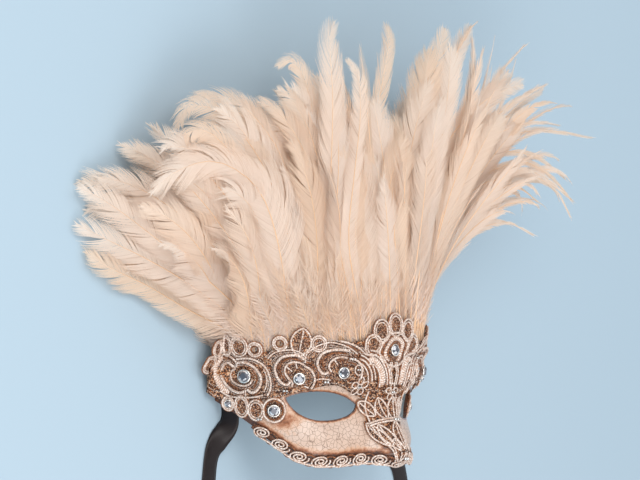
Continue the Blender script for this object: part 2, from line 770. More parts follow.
class LaceMaker:
    """Draws the parts of one piece of lace: its ground, cords, seed beads and pearls."""

    def __init__(self, settings, seed):
        self.bundle = Bundle("tone")
        self.settings = settings
        self.random = np.random.default_rng(seed)

    def cord(self, path, radius=1.0, height=1.5, finish=PALE, closed=False):
        """A twisted cord along a flat path."""
        path = paced(path, 0.5, closed)
        points = lace_point(path[:, 0], path[:, 1], height)
        out = lace_point(path[:, 0], path[:, 1], np.add(height, 1.0)) - points
        radius = self.settings.cord / MM * radius
        self.bundle.cord(points, out, radius, self.settings.pitch / MM, finish, closed)

    def outline(self, motif, share, radius, height, finish=PALE):
        a = np.linspace(0, 2 * math.pi, 96, endpoint=False)
        self.cord(np.stack(motif.flat(a, share), -1), radius, height, finish, True)

    def ground(self, motif, rise=1.3):
        """The padded ground of a motif, closed below."""
        sides = 36
        profile = [(0.02, 0.0), (1.0, 0.0), (1.04, 0.7), (0.97, rise - 0.15), (0.85, rise)]
        profile += [(0.62, rise + 0.1), (0.38, rise + 0.12), (0.18, rise + 0.1), (0.02, rise + 0.1)]
        a = np.linspace(0, 2 * math.pi, sides, endpoint=False)
        rings = []
        for share, height in profile:
            u, v = motif.flat(a, share)
            rough = self.random.uniform(-0.16, 0.16, sides) if height > 0.5 else 0
            rings.append(lace_point(u, v, height + rough))
        faces = grid_faces(len(rings), sides, wrap_columns=True)
        first = np.arange(sides)
        caps = np.vstack([first[::-1], (len(rings) - 1) * sides + first])
        if motif.side > 0:
            faces, caps = faces[:, ::-1], caps[:, ::-1]
        self.bundle.add(np.vstack(rings), faces, GROUND)
        self.bundle.close(caps, GROUND)

    def cloth(self, *angles):
        """The embroidered ground between the motifs, a closed pad from one angle to the other.

        Rows of seed beads are sewn over it, pale and copper in turn."""
        first, last = sorted(angle * PER_DEGREE for angle in angles)
        u = np.arange(first, last + CLOTH_STEP, CLOTH_STEP)
        low, high = lower_bound(u), upper_bound(u)
        rows = 2 + int(np.max(high - low) / CLOTH_STEP)
        share = np.r_[0, np.linspace(0, 1, rows), 1]
        level = np.r_[0.0, np.full(rows, 0.75), 0.0]
        v = mix(low[:, None], high[:, None], share[None, :])
        rough = self.random.uniform(-0.18, 0.18, v.shape) * (level[None, :] > 0)
        points = lace_point(np.broadcast_to(u[:, None], v.shape), v, level[None, :] + rough)
        self.bundle.add(points, grid_faces(len(u), len(share), wrap_columns=True), GROUND)
        end = np.arange(len(share))[None]
        self.bundle.close(np.vstack([end[:, ::-1], end + (len(u) - 1) * len(share)]), GROUND)
        u = np.arange(first + 0.8, last - 0.8, 1.25)
        for k, share in enumerate(np.linspace(0.05, 0.95, BEAD_ROWS)):
            v = mix(lower_bound(u), upper_bound(u), share)
            aside, up = self.random.uniform(-0.35, 0.35, (2, len(u)))
            self.seeds(u + aside, v + up, 1.05, 0.5, (PALE, COPPER)[k % 2])

    def crescent(self, path, half, rise, base):
        """A padded band of satin stitch along a flat path, ribbed across and drawn in at its ends."""
        path = paced(path, 0.4)
        count = len(path)
        end = np.sqrt(np.clip(1 - np.linspace(-1, 1, count) ** 6, 0, 1)) * 0.97 + 0.03
        shares = np.array([-1.0, -0.96, -0.7, -0.35, 0.0, 0.35, 0.7, 0.96, 1.0])
        heights = np.array([-0.3, 0.2, 0.72, 0.94, 1.0, 0.94, 0.72, 0.2, -0.3])
        flat = path[:, None] + sideways(path)[:, None] * (shares[None, :] * half * end[:, None])[..., None]
        rib = np.arange(count) // 2 % 2
        level = base + rise * heights * end[:, None] - 0.3 * rib[:, None] * (heights > 0.5)
        points = lace_point(flat[..., 0], flat[..., 1], level)
        tone = np.repeat(0.75 * rib, len(shares))
        self.bundle.add(points, grid_faces(count, len(shares), wrap_columns=True), PALE, tone=tone)

    def seeds(self, u, v, height, size, finish=COPPER):
        """Seed beads at these flat places: small eight-sided grains."""
        u, v = np.atleast_1d(u), np.atleast_1d(v)
        reach = (size * self.random.uniform(0.8, 1.2, len(u)))[:, None]
        centre, across, up, out = lace_frame(u, v, height)
        corners = [across * reach, up * reach, -across * reach, -up * reach, out * reach, -out * reach]
        points = centre[:, None] + np.stack(corners, 1)
        top = [[0, 1, 4], [1, 2, 4], [2, 3, 4], [3, 0, 4]]
        bottom = [[1, 0, 5], [2, 1, 5], [3, 2, 5], [0, 3, 5]]
        faces = 6 * np.arange(len(u))[:, None, None] + np.array(top + bottom)
        tone = np.repeat(self.random.uniform(0, 0.7, len(u)), 6)
        self.bundle.add(points, faces.reshape(-1, 3), finish, tone=tone)

    def seed_ring(self, motif, share, size, finish, height, skip=1):
        w, h = motif.size()
        count = max(5, int(math.pi * (w + h) * share / (2.1 * size * skip)))
        a = np.linspace(0, 2 * math.pi, count, endpoint=False)
        self.seeds(*motif.flat(a, share), height, size, finish)

    def sprinkle(self, motif, edge):
        """Seed beads sewn in rings all over a motif from its edge inwards, every third one pale."""
        step = 1.15 / min(motif.size())
        for share in np.arange(edge, 0.12, -step):
            self.seed_ring(motif, share, SEED_SIZE, COPPER, SEED_HEIGHT)
            self.seed_ring(motif, share - 0.25 * step, 0.8 * SEED_SIZE, PALE, SEED_HEIGHT + 0.1, 3)

    def beaded(self, path, step, size, finish, height):
        """A row of seed beads along a flat path."""
        row = paced(path, step)
        self.seeds(row[:, 0], row[:, 1], height, size, finish)

    def bordered(self, path, gaps, height=1.6):
        """Rows of pale beads beside a flat path."""
        for gap in gaps:
            self.beaded(beside(path, gap), 1.2, 0.55, PALE, height)

    def ranked(self, path, cords, height):
        """Cords side by side along a flat path, each with its gap, weight and finish."""
        for gap, radius, finish in cords:
            self.cord(beside(path, gap), radius, height, finish)

    def scrolled(self, drawing, centre, side):
        """Cords drawn from a centre, each thick one between two rows of beads."""
        for radius, height, finish, points in drawing:
            path = drawn(points, centre, side)
            self.cord(path, radius, height, finish)
            if radius > 1.2:
                self.beaded(beside(path, 1.8), 1.1, 0.48, COPPER, height - 0.5)
                self.beaded(beside(path, -1.8), 1.1, 0.48, PALE, height - 0.5)

    def pearls(self, u, v, radius=1.05, height=2.2):
        """Two silver beads side by side."""
        for shift in (-0.95, 0.95):
            bpy.ops.mesh.primitive_uv_sphere_add(segments=12, ring_count=8, radius=radius)
            ball = bpy.context.object
            faces = [list(p.vertices) for p in ball.data.polygons]
            self.bundle.add(
                points_of(ball).astype(float) + lace_point(u + shift * radius, v, height),
                [f for f in faces if len(f) == 4],
                SILVER,
            )
            self.bundle.close([f for f in faces if len(f) == 3], SILVER)
            drop(ball)

    def finish(self, finishes, place):
        mounted(self.bundle.piece("corded_lace_" + place, finishes), "lace", "lace_" + place)


# What a motif of each kind carries: cords, each with its share of the outline, weight, height and finish,
# and the share of the outline that its ground's beads start from
DRESS = {
    "petal": ([(1.02, 0.75, 0.9, COPPER), (0.93, 1.1, 1.7, PALE), (0.7, 0.8, 1.6, PALE)], 0.52),
    "cup": ([(1.02, 0.75, 0.9, COPPER), (0.94, 1.3, 1.8, PALE), (0.78, 0.8, 1.5, COPPER)], 0.66),
    "leaf": ([(1.03, 0.7, 0.9, COPPER), (0.92, 1.05, 1.7, PALE)], 0.66),
    "scroll": ([], 0.9),
    "ring": (
        [(1.05, 0.7, 0.8, COPPER), (0.9, 1.1, 1.5, PALE), (0.66, 1.0, 1.9, PALE), (0.45, 0.7, 1.2, COPPER)],
        None,
    ),
}


def dressed(maker, motif):
    """The ground, cords and beads that a motif of its kind carries. A ring has no ground."""
    cords, beads_from = DRESS[motif.kind]
    if beads_from:
        maker.ground(motif)
    for share, radius, height, finish in cords:
        maker.outline(motif, share, radius, height, finish)
    if beads_from:
        maker.sprinkle(motif, beads_from)
    if motif.kind == "leaf":
        tip, stem = (np.array(motif.flat(np.array([a]), 0.8)).ravel() for a in (math.pi / 2, -math.pi / 2))
        maker.cord(np.stack([tip, mix(tip, stem, 0.5), stem]), 0.85, 1.9)


def daisy(maker, angle, y):
    """Five looped petals round two pearls."""
    motif = Motif("daisy", angle, y, oval(6, 6))
    maker.ground(motif, 0.9)
    for k in range(5):
        a = 2 * math.pi * (k + 0.25) / 5
        u, v = motif.flat(np.array([a]), 0.64)
        petal = Motif("", u[0] / PER_DEGREE, v[0], oval(0.4 * 6, 0.32 * 6), math.degrees(a))
        maker.outline(petal, 1.0, 0.8, 1.6)
        maker.seeds(u, v, 1.4, 0.5)
    maker.pearls(motif.u, y, 0.85, 2.4)


def drawn(points, centre, side):
    """A smooth flat path through points given in mm from a centre, drawn for the right side."""
    p = np.array(points, float)
    p = np.vstack([2 * p[0] - p[1], p, 2 * p[-1] - p[-2]])
    t = np.linspace(0, 1, 10, endpoint=False)[:, None]
    parts = [
        0.5 * (2 * b + (c - a) * t + (2 * a - 5 * b + 4 * c - d) * t**2 + (3 * b - a - 3 * c + d) * t**3)
        for a, b, c, d in zip(p, p[1:], p[2:], p[3:])
    ]
    return (np.vstack([*parts, p[-2:-1]]) + np.array(centre)) * np.array([-side, 1])


# Each motif's kind, angle round the right side, height y, outline and turn
TEMPLE_MOTIFS = [
    ("scroll", -76, 20, scalloped(21, 14, 8), -8),
    ("petal", -90.4, 38.5, oval(6.4, 6.4), 0),
    ("petal", -94.6, 27.5, oval(6.2, 6), 0),
    ("petal", -81.5, 41, oval(6, 8), 0),
    ("petal", -74.5, 40, oval(6, 7.2), 0),
    ("ring", -67.5, 38, oval(5.2, 5.2), 0),
    ("ring", -82, 1.5, oval(5.2, 5.2), 0),
    ("petal", -75, -0.5, oval(5.4, 7.6), 0),
    ("petal", -68, -3, oval(6.2, 7.4), 0),
    ("cup", -59.5, -3, oval(8.2, 8.6), 0),
]
BROW_MOTIFS = [
    ("scroll", -50.3, 23, scalloped(12.6, 12, 6), 0),
    ("scroll", -33.8, 27.5, scalloped(14.6, 12, 6), 12),
    ("ring", -56.5, 42, oval(5, 5), 0),
    ("leaf", -47.5, 42.5, leaf(7, 10), -14),
    ("petal", -40, 41.5, oval(5.4, 5.4), 0),
]
# Each stone's angle round the right side, height y, radius and height above the face
STONES = {
    "forehead": (0, 37, 3.6, 1.9),
    "temple": (-73, 20, 4.0, 1.9),
    "temple_low": (-82, 1.5, 2.2, 1.6),
    "cheek": (-59.5, -3, 3.6, 1.9),
    "brow_outer": (-48.4, 19, 3.4, 2.5),
    "brow_inner": (-28.8, 22.5, 3.4, 2.5),
}
# Each cord of a scroll: its weight, height and finish, and points in mm from the scroll's stone
STOUT, ROUND, COPPERED = (1.65, 2.5, PALE), (1.25, 2.3, PALE), (0.8, 1.9, COPPER)
ROSETTE = [
    (*STOUT, [(-7.4, 6.4), (-10, 8.4), (-13.5, 9), (-17, 7.5), (-18.9, 4.1), (-18.9, 0), (-16.5, -4.1),
        (-12.3, -7.9), (-7.4, -10.3), (-3.3, -11.2), (-0.4, -10.4)]),
    (*ROUND, [(-7.2, 6.2), (-5.1, 7.1), (-5.3, 10.1), (-7.8, 12.7), (-11.7, 14.6), (-16.3, 15),
        (-20.5, 14.2)]),
    (*ROUND, [(-6.3, 5.2), (-9.9, 3), (-10.8, 0), (-8.9, -3.4), (-5.3, -5.6), (-0.8, -6.5), (3.3, -5.4),
        (5.6, -2.4)]),
    (*STOUT, [(-4.5, 9), (-0.4, 9.4), (3.7, 8.2), (7.8, 5.2), (10.8, 1.1), (11.6, -3), (10.2, -7.5),
        (7.3, -10.5), (4.5, -10.8), (2, -9)]),
    (*ROUND, [(-4.5, 11.4), (0, 12), (4.9, 11.9), (9.4, 10.3), (13.2, 7.6), (16.2, 3.3), (18, -2.5),
        (18, -8.3), (16, -13)]),
    (0.8, 1.8, PALE, [(13.4, 5), (15, 0.5), (15.4, -5), (13.6, -10.6)]),
    (1.0, 2.0, PALE, [(-20, -10), (-14, -13), (-7, -14.2), (0, -14.4), (7, -14), (13, -12.6)]),
    (1.0, 2.2, PALE, [(0.4, -9), (0.8, -13.6)]),
    (*COPPERED, [(-9, 5), (-12.6, 6.4), (-15.4, 3.6), (-15.2, 0), (-12.8, -3.6), (-9, -6.6), (-5, -8.2)]),
    (*COPPERED, [(-4, 6.4), (0, 7), (3.4, 5.9), (6.6, 3.2), (8.4, 0), (8.7, -3), (7.2, -6.6)]),
]
OUTER_SCROLL = [
    (*STOUT, [(3.4, 12.1), (-0.8, 14.7), (-6.6, 15), (-11.3, 13.7), (-15, 10), (-16.3, 5.8), (-15, 1),
        (-11.8, -3.2), (-8.2, -4.2), (-6, -2.1)]),
    (*ROUND, [(3.4, 8.2), (0.3, 10), (-4, 10.6), (-7.6, 9.2), (-9.5, 6), (-9.1, 2.6), (-6.8, -0.5),
        (-4.5, -2.6), (-5, -5.4)]),
    (*ROUND, [(3.4, 7.9), (7.6, 5.3), (10.3, 1), (10, -3.2), (8.2, -6.4)]),
    (0.9, 2.0, PALE, [(3.4, -5), (6.4, -6)]),
    (0.9, 2.0, PALE, [(-2.4, 10.3), (-1.3, 6.2)]),
    (0.9, 2.0, PALE, [(-8.6, 7.4), (-4.6, 4.2)]),
    (0.9, 1.9, PALE, [(-20.6, 12.9), (-17.1, 16.3), (-11.8, 18.2), (-5.5, 18.7), (-0.3, 17.4),
        (3.4, 14.2)]),
    (*COPPERED, [(1.6, 11), (-2.5, 12.4), (-7, 12.6), (-11, 10.6), (-12.8, 6.6), (-12, 2.2), (-9, -1.6)]),
    (*COPPERED, [(4.4, 10.6), (9.4, 8.4), (12.6, 4), (12.6, -2), (11.4, -6)]),
]
INNER_SCROLL = [
    (*STOUT, [(4, 14.2), (-2.3, 14.9), (-9.1, 14.7), (-14.5, 12.7), (-17.2, 9), (-17.5, 4.7), (-15.9, 1.1),
        (-13.1, -0.6), (-10.2, 0.5)]),
    (*ROUND, [(3.4, 9.4), (-1.1, 10), (-5.7, 9), (-8.8, 6.3), (-9.8, 3.2), (-8.2, 0.5)]),
    (0.9, 2.0, PALE, [(-6.6, 9.4), (-3.4, 4.6)]),
    (*ROUND, [(5.1, 9), (9.5, 8), (12.8, 5.6), (13.9, 1.6), (13.6, -3.5)]),
    (*COPPERED, [(5.1, 6.6), (8.6, 5.4), (10.9, 3), (11.4, 0), (11, -3.5)]),
    (0.9, 1.9, PALE, [(-25.6, 6.3), (-25.4, 11.6), (-22.2, 15), (-17.6, 17.8), (-11.4, 19.6), (-5.7, 19.4),
        (0.6, 17.6), (6.3, 14.8), (11, 12)]),
    (0.9, 1.9, PALE, [(-18.2, -4.2), (-13.6, -3.6), (-8, -4.4)]),
    (1.1, 2.1, PALE, [(-3, 20.6), (2.4, 19.6), (7.6, 17.6), (12, 15.4)]),
    (0.8, 1.8, COPPER, [(2, 17.9), (7, 16), (11.6, 13.8)]),
    (*COPPERED, [(2, 12.2), (-4, 12.8), (-9.6, 12), (-13.2, 9), (-13.8, 5), (-12.6, 2)]),
]
CRESCENT = [(-18.2, 13), (-23, 10.2), (-25, 6), (-24.2, 1.5), (-21.3, -3.6), (-17.2, -8.4), (-12, -11.4)]
# The cords beside the forehead's bands and beside its low scrolls: each one's gap, weight and finish
BAND_CORDS = [(3.4, 1.1, PALE), (-3.4, 1.1, PALE), (4.8, 0.8, COPPER), (-4.8, 0.8, COPPER), (6.0, 1.0, PALE)]
SWEEP_CORDS = [(0, 1.2, PALE), (1.5, 0.7, COPPER), (2.8, 0.95, PALE), (-1.6, 0.7, COPPER), (-3.0, 0.95, PALE)]
# The leaves of the nose on one side: angle, height y, half width, half length and turn
NOSE_LEAVES = [
    (12.3, -2.5, 4.4, 9, -52),
    (5.5, -2.5, 4, 9, -22),
    (0, -3, 4.6, 9, 0),
    (8.6, -21, 3.8, 11, -36),
    (5, -23, 3.6, 10.5, -22),
    (0, -21, 4.2, 10, 0),
    (2.6, -31, 3.4, 7.5, -10),
]
LOWER_BOUND = through(
    [(0, 2), (9, 3), (18, 6.5), (24, 10.5), (30, 14), (38, 13.5), (44, 10.5), (50, 9), (58, 5), (66, 4)]
    + [(76, 4), (88, 5), (95, 10)]
)
NOSE_BAND = through([(-38, 5), (-30, 9), (-20, 13), (-10, 17), (0, 20), (12, 20)])


def lower_bound(u):
    """The lace's lower edge over the eyes and temples."""
    return LOWER_BOUND(np.abs(u) / PER_DEGREE)


def upper_bound(u):
    """Its upper edge between the motifs, scalloped."""
    swell = 3.0 * bell(np.abs(u) / PER_DEGREE, 36, 9)
    return upper_edge(np.clip(u / PER_DEGREE, -90, 90)) - 7.5 + swell + 0.8 * np.abs(np.sin(u / 2.4))


def stone_place(name):
    angle, y = STONES[name][:2]
    return angle * PER_DEGREE, y


def temple_lace(maker, side):
    """Petals and rings round a rosette: two volutes wound about its stone, inside a ribbed crescent."""
    maker.cloth(side * 94, side * 60.3)
    for row in TEMPLE_MOTIFS:
        dressed(maker, Motif(*row, side))
    stone = stone_place("temple")
    maker.crescent(drawn(CRESCENT, stone, side), 2.6, 1.5, 1.6)
    maker.scrolled(ROSETTE, stone, side)
    maker.bordered(drawn(ROSETTE[4][3], stone, side), (1.6, -1.6), 1.7)
    maker.pearls(66.5 * side * PER_DEGREE, -9)


def brow_lace(maker, side):
    """Two scrolls that open towards the nose, each round its stone, under beaded borders."""
    maker.cloth(side * 60, side * 21.3)
    for row in BROW_MOTIFS:
        dressed(maker, Motif(*row, side))
    for name, drawing, border in (("brow_outer", OUTER_SCROLL, 6), ("brow_inner", INNER_SCROLL, 5)):
        stone = stone_place(name)
        maker.scrolled(drawing, stone, side)
        maker.bordered(drawn(drawing[border][3], stone, side), (-3.2, -1.6, 1.6))
    small = Motif("", -21, 24, oval(3, 3), 0, side)
    maker.outline(small, 1.0, 0.9, 1.9)
    maker.pearls(small.u * -side, 24, 0.9, 2.0)
    for angle, y in ((54.5, 10.5), (36, 17)):
        maker.pearls(angle * side * PER_DEGREE, y)


def forehead_lace(maker):
    """A fan of petals over a stone in a ribbed collar, and on each side bands that run down to a daisy."""
    maker.cloth(-21, 21)
    dressed(maker, Motif("cup", 0, 37, oval(15, 11.6)))
    turn = np.radians(mix(-62, 242, np.linspace(0, 1, 60)))
    collar = np.stack([8.4 * np.cos(turn), 36.5 + 0.95 * 8.4 * np.sin(turn)], -1)
    maker.crescent(collar, 1.5, 1.9, 1.2)
    maker.outline(Motif("", 0, 37, oval(5.6, 5.4)), 1.0, 0.8, 1.6, COPPER)
    for fan in np.radians(np.linspace(-80, 80, 5)):
        angle = 21 * math.sin(fan) / PER_DEGREE
        dressed(maker, Motif("petal", angle, 37.5 + 15 * math.cos(fan), oval(7.2, 7.4), -math.degrees(fan)))
    for side in (-1, 1):
        mirror = np.array([side, 1])
        bean = np.array([(23.5, 31.0), (17.5, 30.0), (13.5, 26.0), (11.0, 20.5), (9.6, 13.5)]) * mirror
        bean = eased_by_number(bean, 50)
        maker.crescent(bean, 2.7, 2.0, 0.8)
        maker.ranked(bean, BAND_CORDS, 1.9)
        sweep = drawn([(-31, 31.5), (-26.4, 29), (-22.6, 23.6), (-20.6, 17)], (0, 0), side)
        maker.ranked(sweep, SWEEP_CORDS, 2.0)
        crest = drawn([(-31, 37.6), (-27, 34.8), (-24.6, 34)], (0, 0), side)
        maker.cord(crest, 1.0, 2.0)
        maker.bordered(crest, (1.6, -1.6))
        daisy(maker, 19 * side, 13.5)
        maker.pearls(23.4 * side * PER_DEGREE, 31)
        maker.seeds(side * np.linspace(4, 9, 6), np.linspace(25, 12, 6), 1.6, 0.6)
        for gap in (0, 1.8):
            stem = [(1.6 + gap, 29), (3.0 + gap, 22), (1.2 + gap, 14)]
            maker.cord(paced(stem, 1.0) * mirror, 0.95, 1.9)


def nose_lace(maker):
    """A ground that narrows to the nose's tip, with a daisy over two tied sheaves of leaves."""
    rows = np.arange(-37.5, 11, CLOTH_STEP)
    shares = np.linspace(-1, 1, 34)
    u = NOSE_BAND(rows)[:, None] * shares[None, :]
    level = np.full(u.shape, 0.75) + maker.random.uniform(-0.3, 0.3, u.shape)
    level[:, [0, -1]] = 0.0
    v = np.broadcast_to(rows[:, None], u.shape)
    maker.bundle.add(lace_point(u, v, level), grid_faces(len(rows), len(shares)), GROUND)
    daisy(maker, 0, 8.5)
    for angle, y, w, h, turn in NOSE_LEAVES:
        for side in (-1, 1) if angle else (1,):
            dressed(maker, Motif("leaf", side * angle, y, leaf(w, h), side * turn))
    for y in (-10.6, -12.4):
        u = np.linspace(-17, 17, 40)
        maker.cord(np.stack([u, y - 0.012 * u * u + 0.8], -1), 1.2, 2.6)
    for y in (-11, -35):
        maker.pearls(0.0, y, 1.15, 3.6)
    for side in (-1, 1):
        edge = np.stack([side * NOSE_BAND(rows), rows], -1)
        maker.cord(edge, 1.1, 1.5)
        maker.cord(edge - np.array([side * 1.4, 0]), 0.8, 1.3, COPPER)


class MASK_OT_lace(bpy.types.Operator):
    """Make the six pieces of corded lace"""

    bl_idname = "half_mask.lace"
    bl_label = "Corded lace"

    def execute(self, context):
        settings = context.scene.half_mask.lace
        finishes = lace_finishes(settings)
        for side, word in SIDES:
            for place, sew, seed in (("temple_", temple_lace, 3), ("brow_", brow_lace, 5)):
                maker = LaceMaker(settings, seed)
                sew(maker, side)
                maker.finish(finishes, place + word)
        for place, sew, seed in (("forehead", forehead_lace, 7), ("nose", nose_lace, 9)):
            maker = LaceMaker(settings, seed)
            sew(maker)
            maker.finish(finishes, place)
        return {"FINISHED"}


# Stones


def chosen(piece, test):
    """In edit mode, with only the faces selected whose normal passes the test."""
    bpy.ops.object.mode_set(mode="EDIT")
    bpy.ops.mesh.select_all(action="DESELECT")
    bpy.ops.object.mode_set(mode="OBJECT")
    for face in piece.data.polygons:
        face.select = test(face.normal)
    bpy.ops.object.mode_set(mode="EDIT")


def cut_stone():
    """One stone of radius 1: a girdle, bevelled crown and table, and a pointed pavilion."""
    bpy.ops.mesh.primitive_cylinder_add(vertices=12, radius=1, depth=0.16)
    stone = bpy.context.object
    only(stone)
    chosen(stone, lambda normal: normal.z > 0.9)
    bpy.ops.mesh.inset(thickness=0.2, depth=0.2)
    bpy.ops.mesh.inset(thickness=0.26, depth=0.12)
    bpy.ops.object.mode_set(mode="OBJECT")
    chosen(stone, lambda normal: normal.z < -0.9)
    bpy.ops.mesh.inset(thickness=0.75, depth=0.4)
    bpy.ops.object.mode_set(mode="OBJECT")
    return stone


def seated(points, u, v, height, radius):
    """Points of a unit shape, standing on the lace at a flat place."""
    centre, across, up, out = lace_frame(u, v, height)
    return centre + radius * (points @ np.stack([across, up, out]))


def both_of(name):
    """The stone's name and angle on each side where it is set."""
    angle = STONES[name][0]
    return [(f"{name}_{word}", -side * angle) for side, word in SIDES] if angle else [(name, 0.0)]


def facets_of(stone):
    """The stone's points, its facets cut into triangles, and the facet that each triangle is of."""
    owner, faces = [], []
    for facet in stone.data.polygons:
        ring = list(facet.vertices)
        for second, third in zip(ring[1:], ring[2:]):
            faces.append((ring[0], second, third))
            owner.append(facet.index)
    return points_of(stone).astype(float), faces, np.array(owner)


def plated_cup():
    """The rim and the dish of a cup for a stone of radius 1, each with its faces and finish."""
    bpy.ops.mesh.primitive_torus_add(
        major_radius=1.08, minor_radius=0.17, major_segments=28, minor_segments=8
    )
    torus = bpy.context.object
    rim = points_of(torus).astype(float)
    rim_faces = [list(p.vertices) for p in torus.data.polygons]
    drop(torus)
    around = 2 * math.pi * np.arange(16) / 16
    ring = np.stack([np.cos(around), np.sin(around), 0 * around], -1)
    shares = [(1.05, 0.0), (1.02, 0.05), (0.75, -0.2), (0.2, -0.45), (0.02, -0.45)]
    dish = np.vstack([ring * share + np.array([0, 0, height]) for share, height in shares])
    dish_faces = grid_faces(len(shares), len(ring), wrap_columns=True)
    return (rim, rim_faces, 0), (dish, dish_faces, 1)


class MASK_OT_stones(bpy.types.Operator):
    """Cut the rhinestones and make the plated cups that hold them"""

    bl_idname = "half_mask.stones"
    bl_label = "Rhinestones"

    def execute(self, context):
        settings = context.scene.half_mask.stones
        pattern = cut_stone()
        corners, faces, owner = facets_of(pattern)
        facets = len(pattern.data.polygons)
        drop(pattern)
        glass = crystal()
        cup = plated_cup()
        cups = Bundle()
        random = np.random.default_rng(settings.seed)
        for stone, (_, v, radius, height) in STONES.items():
            for name, angle in both_of(stone):
                u = angle * PER_DEGREE
                gem = Bundle()
                gem.add(seated(corners, u, v, height + 0.55 * radius, radius), faces)
                piece = gem.piece("stone_" + name, [glass], flat=True)
                mark = piece.data.attributes.new("facet", "FLOAT", "FACE")
                mark.data.foreach_set("value", random.choice([0, 0, 0.12, 0.3, 0.55, 1.0], facets)[owner])
                mounted(piece, "gem", "rhinestone_" + name)
                for points, cup_faces, finish in cup:
                    cups.add(seated(points, u, v, height + 0.42 * radius, radius), cup_faces, finish)
        finishes = [metal("plated_cup", settings.plate, 0.2), metal("stone_foil", settings.foil, 0.08)]
        mounted(cups.piece("stone_cups", finishes), "lace")
        return {"FINISHED"}


# The gimp braid along the lower edge: how far round it goes, its knots and their size as they are drawn

BRAID_REACH = 70
BRAID_KNOTS = 15
KNOT_PITCH = 14.7
KNOT_TAIL = [(3.8, 4.3), (7.3, 4.5), (11, 4.9), (14.7, 5.0), (18.6, 4.0), (21.2, 1.4), (21.4, -1.4)]


def wound_knot():
    """One knot as it is drawn, a spiral that unwinds into its tail: points along, across and up."""
    wind = np.linspace(0, 1, 80)
    turn = 0.5 * math.pi + 4.7 * math.pi * (1 - wind)
    reach = mix(0.12, 1.0, wind)
    spiral = np.stack([6.1 * reach * np.cos(turn), 3.9 * reach * np.sin(turn)], -1)
    tail = drawn(KNOT_TAIL, (0, 0), -1)
    along, across = np.vstack([spiral, tail]).T
    slope = np.r_[np.full(len(wind), 0.2), np.linspace(0.2, 0, len(tail))]
    return along, across - slope * along, np.r_[2.7 - 0.9 * wind, np.linspace(1.8, 2.3, len(tail))]


class MASK_OT_braid(bpy.types.Operator):
    """Make the gimp braid: a row of wound knots between two waved cords, on a flat tape"""

    bl_idname = "half_mask.braid"
    bl_label = "Gimp braid"

    def execute(self, context):
        settings = context.scene.half_mask.lace
        angle = np.linspace(-BRAID_REACH - 3, BRAID_REACH + 3, 400)
        travelled = travelled_along(face_point(angle, lower_edge(angle) + 0.6))
        start, end = np.interp([-BRAID_REACH, BRAID_REACH], angle, travelled)
        pitch = (end - start) / BRAID_KNOTS

        def laid(along, across, height):
            """Points that far along and across the edge, and the face's normal there."""
            turn = np.interp(along, travelled, angle)
            y = lower_edge(turn) + 0.6
            normal = face_normal(turn, y)
            ahead = face_point(turn + 1, lower_edge(turn + 1)) - face_point(turn - 1, lower_edge(turn - 1))
            down = unit(np.cross(normal, ahead))
            across, height = (np.broadcast_to(n, len(along))[:, None] for n in (across, height))
            return face_point(turn, y) + down * across + normal * (GAP + height), normal

        bundle = Bundle("tone")
        rows = np.linspace(start - 1, end + 1, 220)
        section = ((-2.1, 0.1), (-1.9, 0.8), (1.9, 0.8), (2.1, 0.1))
        tape = np.stack([laid(rows, across, height)[0] for across, height in section], 1)
        bundle.add(tape, grid_faces(len(rows), 4, wrap_columns=True), COPPER, tone=0.85)
        last = 4 * (len(rows) - 1)
        bundle.close([[0, 1, 2, 3], [last + 3, last + 2, last + 1, last]], COPPER)
        knot_along, knot_across, rise = wound_knot()
        for cord, inward, sink, finish in ((0.66, 1.0, 0.0, PALE), (0.4, 0.86, 0.3, COPPER)):
            for k in range(BRAID_KNOTS):
                middle = start + pitch * (k + 0.5)
                along = np.clip(middle + knot_along * pitch / KNOT_PITCH, start - 1, end + 1)
                bundle.cord(*laid(along, 0.3 - inward * knot_across, rise - sink), cord, 4.4, finish)
        wave = np.linspace(start - 1, end + 1, 700)
        phase = 2 * math.pi * (wave - start) / pitch
        drawn_in = smooth(wave, start - 1, start + 4) * (1 - smooth(wave, end - 4, end + 1))
        for side in (-1, 1):
            across = side * (2.4 + 1.3 * np.cos(phase)) * drawn_in
            bundle.cord(*laid(wave, across, 1.2), 0.7, 3.6, COPPER, plies=(0.1, 0.9, 0.2, 0.8))
        pale = thread("braid_cord", settings.silver, settings.silver_shadow, 0.2, 0.45)
        copper = thread("braid_copper", settings.copper, settings.umber, 0.35, 0.45)
        mounted(bundle.piece("gimp_braid", [pale, pale, copper]), "braid", "edge_braid")
        return {"FINISHED"}


# The crown of feathers. A row has so many feathers, reaches so far round the face, sits and spreads so much
# outwards, and stands for so many solids. Its stations give, at an angle round the face, where a feather's
# tip is (x, y, z), how far the feather first rises straight up, the way its tip points in degrees from the
# wearer's left, and its width

